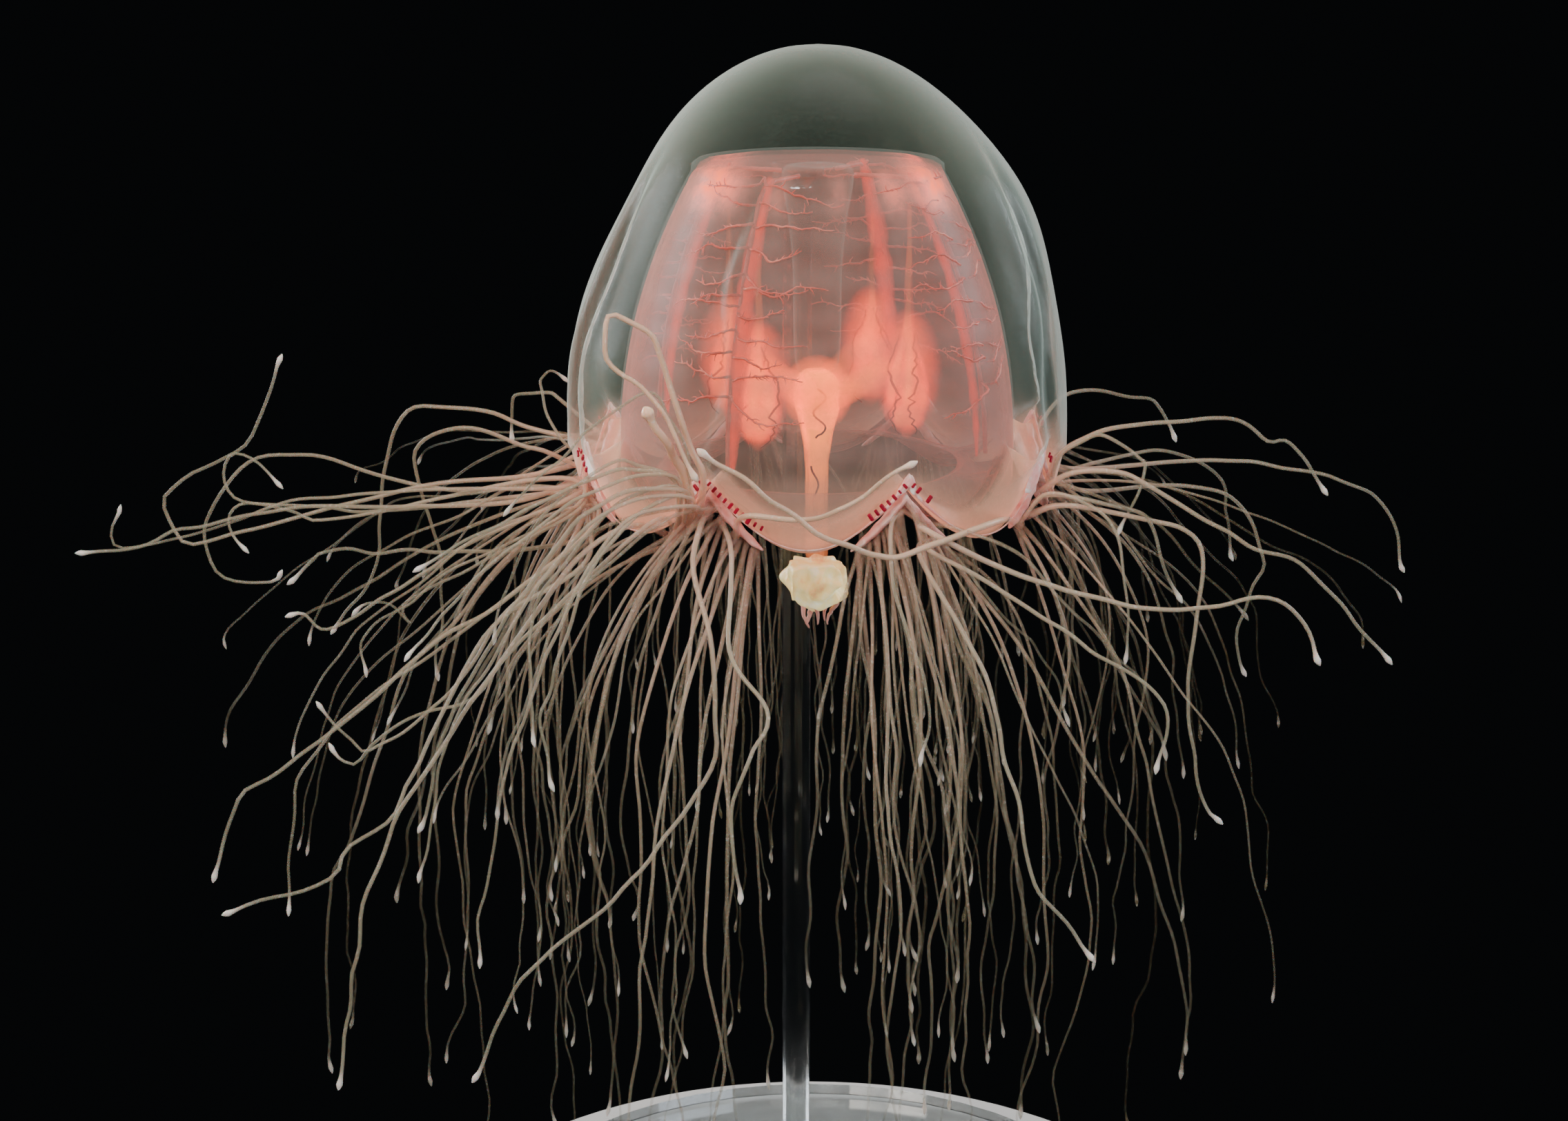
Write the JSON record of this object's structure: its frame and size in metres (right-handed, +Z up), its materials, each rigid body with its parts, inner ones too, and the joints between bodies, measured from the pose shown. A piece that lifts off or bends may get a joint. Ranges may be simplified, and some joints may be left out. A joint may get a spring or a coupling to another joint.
{
  "type": "hair-jelly hydromedusa model on a display stand",
  "caption": "Still life-size model of a clear, deep-belled hydromedusa with clusters of hair-like tentacles round its rim, held on a plain clear display stand.",
  "frame": {"origin": "centre of the stand's flat underside, on the bell's axis", "axes": "+Z up along the bell's axis; -Y is the front, from which the animal is seen; +X is to the right seen from the front"},
  "size_m": [0.1605, 0.1289, 0.158],
  "materials": {
    "stand_acrylic": "polished clear acrylic",
    "bell_jelly": "wet, clear, faintly milky grey-green jelly",
    "subumbrella_wall": "thin milky pink film, semi-transparent",
    "canal_tissue": "wet red soft tissue",
    "gonad_tissue": "wet orange-red soft tissue",
    "stomach_tissue": "wet orange-yellow soft tissue",
    "mouth_tissue": "wet cream frilled tissue",
    "pad_tissue": "wet pink soft tissue with small crimson eye spots",
    "tentacle_tissue": "wet pinkish beige threads with whitish tips"
  },
  "bodies": {
    "root": {"stand_base": "stand_acrylic", "stand_rod": "stand_acrylic", "bell": "bell_jelly", "subumbrella": "subumbrella_wall", "peduncle": "bell_jelly", "stomach": "stomach_tissue", "mouth": "mouth_tissue", "canal_1": "canal_tissue", "canal_2": "canal_tissue", "canal_3": "canal_tissue", "canal_4": "canal_tissue", "gonad_1": "gonad_tissue", "gonad_2": "gonad_tissue", "gonad_3": "gonad_tissue", "gonad_4": "gonad_tissue", "cluster_1": "pad_tissue", "cluster_2": "pad_tissue", "cluster_3": "pad_tissue", "cluster_4": "pad_tissue", "cluster_5": "pad_tissue", "cluster_6": "pad_tissue", "cluster_7": "pad_tissue", "cluster_8": "pad_tissue", "tentacle_arch": "tentacle_tissue", "tentacle_back_right": "tentacle_tissue", "tentacle_bend_right": "tentacle_tissue", "tentacle_crossing": "tentacle_tissue", "tentacle_curl": "tentacle_tissue", "tentacle_diagonal_high": "tentacle_tissue", "tentacle_diagonal_low": "tentacle_tissue", "tentacle_far_left": "tentacle_tissue", "tentacle_far_right": "tentacle_tissue", "tentacle_draped": "tentacle_tissue", "tentacle_hook": "tentacle_tissue", "tentacle_long_front": "tentacle_tissue", "tentacle_loop": "tentacle_tissue", "tentacle_low_right": "tentacle_tissue", "tentacle_riser": "tentacle_tissue", "tentacle_sweep": "tentacle_tissue", "tentacle_droop_00": "tentacle_tissue", "tentacle_droop_01": "tentacle_tissue", "tentacle_droop_02": "tentacle_tissue", "tentacle_droop_03": "tentacle_tissue", "tentacle_droop_04": "tentacle_tissue", "tentacle_droop_05": "tentacle_tissue", "tentacle_droop_06": "tentacle_tissue", "tentacle_droop_07": "tentacle_tissue", "tentacle_droop_08": "tentacle_tissue", "tentacle_droop_09": "tentacle_tissue", "tentacle_droop_10": "tentacle_tissue", "tentacle_droop_11": "tentacle_tissue", "tentacle_droop_12": "tentacle_tissue", "tentacle_droop_13": "tentacle_tissue", "tentacle_droop_14": "tentacle_tissue", "tentacle_droop_15": "tentacle_tissue", "tentacle_droop_16": "tentacle_tissue", "tentacle_droop_17": "tentacle_tissue", "tentacle_droop_18": "tentacle_tissue", "tentacle_droop_19": "tentacle_tissue"}
  },
  "joints": []
}
